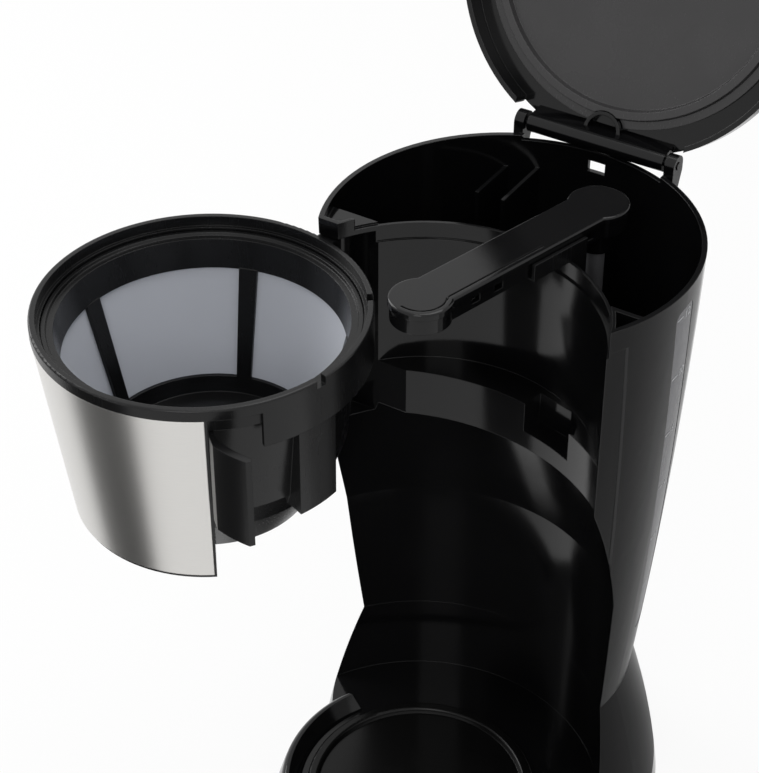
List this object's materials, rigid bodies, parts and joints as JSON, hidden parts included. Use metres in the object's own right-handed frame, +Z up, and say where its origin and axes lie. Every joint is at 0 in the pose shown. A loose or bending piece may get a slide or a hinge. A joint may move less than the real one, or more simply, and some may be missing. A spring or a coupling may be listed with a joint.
{
  "type": "drip coffee maker",
  "caption": "Drip coffee maker with a rear water tank, hinged lid, fixed shower arm, side-hinged swing-out filter holder with brushed steel front, and a round hot plate.",
  "frame": {"origin": "on the drip axis (centre of the hot plate and of the closed filter holder), at the table under the feet", "axes": "+Z up, -Y the front, +X the side with the level window (right, seen from the front)"},
  "size_m": [0.2569, 0.3603, 0.5676],
  "materials": {
    "black_gloss": "glossy",
    "black_satin": "satin",
    "rubber": "matte",
    "zinc": "zinc plated",
    "smoky_window": "smoky translucent",
    "plate_coating": "non-stick coating",
    "heater_metal": "extruded",
    "silicone": "milky",
    "grey_plastic": "satin",
    "steel": "brushed",
    "mesh": "fine woven mesh"
  },
  "bodies": {
    "machine": {"tower_housing": "black_gloss", "base_housing": "black_gloss", "base_cover": "black_satin", "rubber_feet": "rubber", "cover_screws": "zinc", "level_window": "smoky_window", "hot_plate": "plate_coating", "plate_seal": "rubber", "heater_tube": "heater_metal", "heater_clamp": "zinc", "thermostat": "black_satin", "thermal_fuse": "zinc", "hot_hose": "silicone", "cold_hose": "silicone", "check_valve": "grey_plastic", "riser_tube": "grey_plastic", "shower_arm": "black_satin", "shower_cover": "black_satin", "arm_saddle": "black_satin", "holder_hinge_pin": "black_satin", "lid_hinge_pin": "black_satin", "switch_bezel": "black_satin", "cord_gland": "rubber"},
    "lid": {"lid_shell": "black_gloss", "lid_liner": "black_satin"},
    "holder": {"holder_shell": "black_satin", "steel_band": "steel", "holder_grip": "black_satin", "valve_spring": "steel"},
    "filter": {"filter_frame": "black_satin", "filter_mesh": "mesh"},
    "drip_valve": {"valve_stem": "grey_plastic", "valve_seal": "silicone"},
    "switch": {"switch_rocker": "black_gloss"}
  },
  "joints": [
    {"name": "lid_hinge", "type": "hinge", "parent": "machine", "child": "lid", "pos_m": [0, 0.157, 0.3445], "axis": [-1, 0, 0], "range_deg": [-110, 0]},
    {"name": "holder_swing", "type": "hinge", "parent": "machine", "child": "holder", "pos_m": [-0.074, 0.044, 0.31], "axis": [0, 0, -1], "range_deg": [-70, 0]},
    {"name": "filter_lift", "type": "slide", "parent": "holder", "child": "filter", "axis": [0, 0, 1], "range_m": [0, 0.09]},
    {"name": "valve_push", "type": "slide", "parent": "holder", "child": "drip_valve", "axis": [0, 0, 1], "range_m": [0, 0.004], "stiffness_N_per_m": 400, "springref_m": -0.003, "deforming": ["valve_spring"]},
    {"name": "switch_rock", "type": "hinge", "parent": "machine", "child": "switch", "pos_m": [0, -0.0746, 0.023], "axis": [1, 0, 0], "range_deg": [0, 14]}
  ]
}
